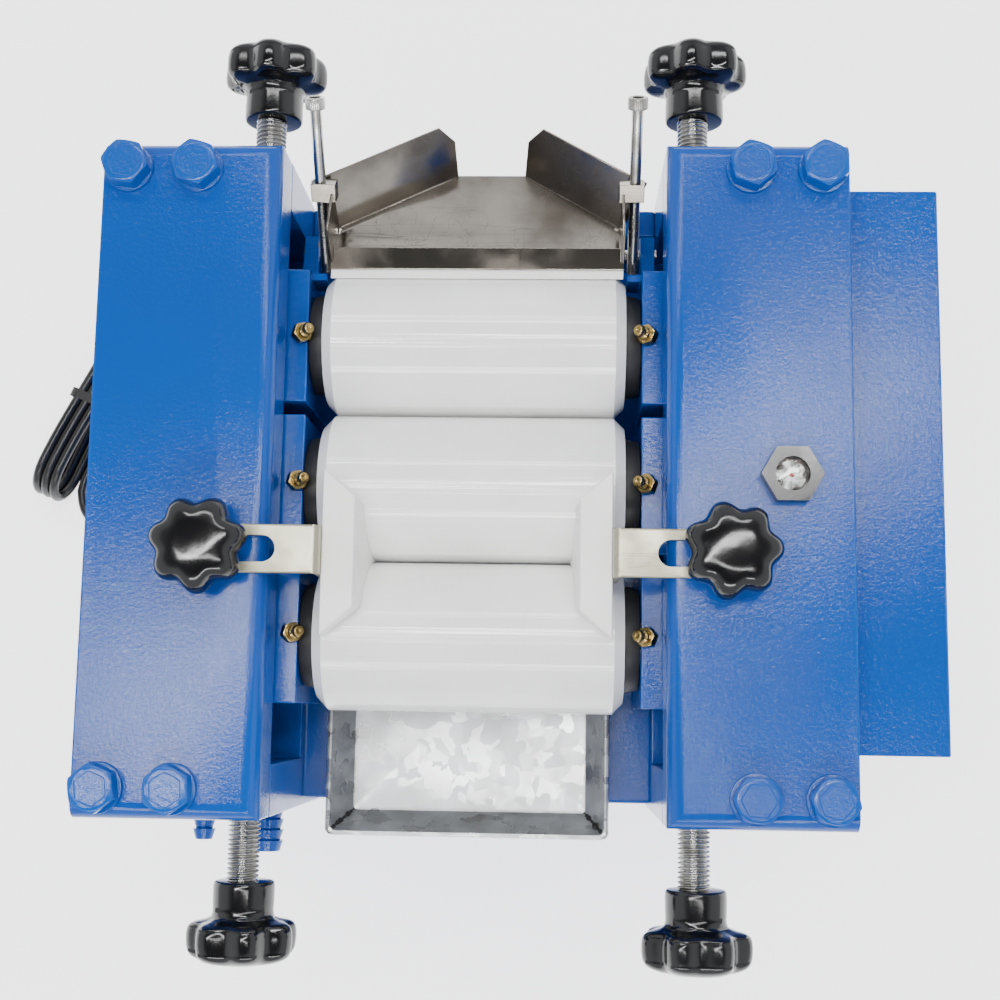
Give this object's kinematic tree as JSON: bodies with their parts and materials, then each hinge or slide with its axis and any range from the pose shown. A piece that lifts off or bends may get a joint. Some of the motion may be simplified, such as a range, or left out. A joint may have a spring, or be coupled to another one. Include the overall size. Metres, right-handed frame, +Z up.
{
  "type": "three roll mill",
  "caption": "Benchtop laboratory roll mill: side-by-side rolls in bearing blocks, star-knob gap screws, hopper cheeks, scraper apron, drip tray and enclosed drive.",
  "frame": {"origin": "centre of the bench bolt pattern on the underside of the base plate, below the middle roll's centre", "axes": "+X along the rolls towards the drive guard, +Y towards the apron (rear), +Z up"},
  "size_m": [0.5117, 0.414, 0.4182],
  "materials": {
    "blue_paint": "gloss",
    "white_roll": "gloss",
    "white_nylon": "satin",
    "zinc": "satin",
    "bearing_steel": "polished",
    "black_plastic": "gloss",
    "stainless": "polished",
    "galvanised": "spangled",
    "motor_grey": "satin",
    "belt_rubber": "matte",
    "clear_lens": "clear",
    "cord_pvc": "satin",
    "switch_red": "gloss",
    "bare_plate": "satin"
  },
  "bodies": {
    "root": {"base_plate": "bare_plate", "base_shell": "blue_paint", "access_panel": "blue_paint", "cover_screws": "zinc", "left_frame": "blue_paint", "right_frame": "blue_paint", "left_cap": "blue_paint", "right_cap": "blue_paint", "side_covers": "blue_paint", "cap_bolts": "blue_paint", "rear_tie_beam": "blue_paint", "middle_blocks": "blue_paint", "middle_bearings": "bearing_steel", "drive_belt": "belt_rubber", "gear_motor": "motor_grey", "drive_guard": "blue_paint", "sight_plug": "black_plastic", "sight_lens": "clear_lens", "water_barbs": "blue_paint", "cord_gland": "black_plastic", "cord_tube": "cord_pvc", "cord_hank": "cord_pvc", "mains_plug": "cord_pvc"},
    "front_carriage": {"front_blocks": "blue_paint", "front_bearings": "bearing_steel"},
    "rear_carriage": {"rear_blocks": "blue_paint", "rear_bearings": "bearing_steel"},
    "front_roll": {"front_roll_sleeve": "white_roll", "front_shaft": "bearing_steel", "front_gear": "bearing_steel"},
    "middle_roll": {"middle_roll_sleeve": "white_roll", "middle_shaft": "bearing_steel", "middle_pinion": "bearing_steel", "middle_gear": "bearing_steel", "driven_pulley": "bearing_steel"},
    "rear_roll": {"rear_roll_sleeve": "white_roll", "rear_shaft": "bearing_steel", "rear_pinion": "bearing_steel"},
    "left_front_adjuster": {"left_front_screw": "zinc", "left_front_knob": "black_plastic"},
    "right_front_adjuster": {"right_front_screw": "zinc", "right_front_knob": "black_plastic"},
    "left_rear_adjuster": {"left_rear_screw": "zinc", "left_rear_knob": "black_plastic"},
    "right_rear_adjuster": {"right_rear_screw": "zinc", "right_rear_knob": "black_plastic"},
    "left_hopper_side": {"left_bracket": "zinc", "left_cheek": "white_nylon"},
    "right_hopper_side": {"right_bracket": "zinc", "right_cheek": "white_nylon"},
    "left_clamp": {"left_clamp_knob": "black_plastic"},
    "right_clamp": {"right_clamp_knob": "black_plastic"},
    "scraper": {"apron": "stainless", "scraper_blade": "white_nylon", "apron_rod": "bearing_steel"},
    "left_stop": {"left_stop_screw": "zinc"},
    "right_stop": {"right_stop_screw": "zinc"},
    "tray": {"drip_tray": "galvanised"},
    "switch": {"power_rocker": "switch_red"},
    "motor_drive": {"motor_pulley": "bearing_steel"}
  },
  "joints": [
    {"name": "middle_spin", "type": "hinge", "parent": "root", "child": "middle_roll", "pos_m": [0, 0, 0.34], "axis": [1, 0, 0], "continuous": true},
    {"name": "front_gap", "type": "slide", "parent": "root", "child": "front_carriage", "axis": [0, -1, 0], "range_m": [0, 0.003]},
    {"name": "rear_gap", "type": "slide", "parent": "root", "child": "rear_carriage", "axis": [0, 1, 0], "range_m": [0, 0.003]},
    {"name": "front_spin", "type": "hinge", "parent": "front_carriage", "child": "front_roll", "pos_m": [0, -0.0653, 0.34], "axis": [1, 0, 0], "continuous": true},
    {"name": "rear_spin", "type": "hinge", "parent": "rear_carriage", "child": "rear_roll", "pos_m": [0, 0.0653, 0.34], "axis": [1, 0, 0], "continuous": true},
    {"name": "motor_spin", "type": "hinge", "parent": "root", "child": "motor_drive", "pos_m": [0.17, 0, 0.095], "axis": [1, 0, 0], "continuous": true},
    {"name": "left_front_turn", "type": "hinge", "parent": "front_carriage", "child": "left_front_adjuster", "pos_m": [-0.097, -0.18, 0.34], "axis": [0, -1, 0], "range_deg": [0, 541]},
    {"name": "left_rear_turn", "type": "hinge", "parent": "rear_carriage", "child": "left_rear_adjuster", "pos_m": [-0.097, 0.18, 0.34], "axis": [0, 1, 0], "range_deg": [0, 541]},
    {"name": "right_front_turn", "type": "hinge", "parent": "front_carriage", "child": "right_front_adjuster", "pos_m": [0.097, -0.18, 0.34], "axis": [0, -1, 0], "range_deg": [0, 541]},
    {"name": "right_rear_turn", "type": "hinge", "parent": "rear_carriage", "child": "right_rear_adjuster", "pos_m": [0.097, 0.18, 0.34], "axis": [0, 1, 0], "range_deg": [0, 541]},
    {"name": "left_hopper_slide", "type": "slide", "parent": "root", "child": "left_hopper_side", "axis": [-1, 0, 0], "range_m": [-0.008, 0.008]},
    {"name": "right_hopper_slide", "type": "slide", "parent": "root", "child": "right_hopper_side", "axis": [1, 0, 0], "range_m": [-0.008, 0.008]},
    {"name": "left_clamp_turn", "type": "hinge", "parent": "root", "child": "left_clamp", "pos_m": [-0.106, -0.03265, 0.391], "axis": [0, 0, 1], "range_deg": [0, 180]},
    {"name": "right_clamp_turn", "type": "hinge", "parent": "root", "child": "right_clamp", "pos_m": [0.106, -0.03265, 0.391], "axis": [0, 0, 1], "range_deg": [0, 180]},
    {"name": "scraper_tilt", "type": "hinge", "parent": "rear_carriage", "child": "scraper", "pos_m": [0, 0.1103, 0.332], "axis": [1, 0, 0], "range_deg": [-7, 0]},
    {"name": "left_stop_turn", "type": "hinge", "parent": "scraper", "child": "left_stop", "pos_m": [-0.0685, 0.0987, 0.344], "axis": [0, 0.7986, 0.6018], "range_deg": [-600, 0]},
    {"name": "right_stop_turn", "type": "hinge", "parent": "scraper", "child": "right_stop", "pos_m": [0.0695, 0.0987, 0.344], "axis": [0, 0.7986, 0.6018], "range_deg": [-600, 0]},
    {"name": "tray_slide", "type": "slide", "parent": "root", "child": "tray", "axis": [0, -1, 0], "range_m": [0, 0.12]},
    {"name": "switch_rock", "type": "hinge", "parent": "root", "child": "switch", "pos_m": [0.12, -0.1405, 0.15], "axis": [1, 0, 0], "range_deg": [0, 12]}
  ],
  "couplings": [
    {"joint": "front_spin", "follows": "middle_spin", "ratio": -0.57576},
    {"joint": "rear_spin", "follows": "middle_spin", "ratio": -1.7368},
    {"joint": "motor_spin", "follows": "middle_spin", "ratio": 1},
    {"joint": "left_front_turn", "follows": "front_gap", "rad_per_m": 3141.6},
    {"joint": "right_front_turn", "follows": "front_gap", "rad_per_m": 3141.6},
    {"joint": "left_rear_turn", "follows": "rear_gap", "rad_per_m": 3141.6},
    {"joint": "right_rear_turn", "follows": "rear_gap", "rad_per_m": 3141.6},
    {"joint": "left_stop_turn", "follows": "scraper_tilt", "ratio": 85},
    {"joint": "right_stop_turn", "follows": "scraper_tilt", "ratio": 85}
  ]
}
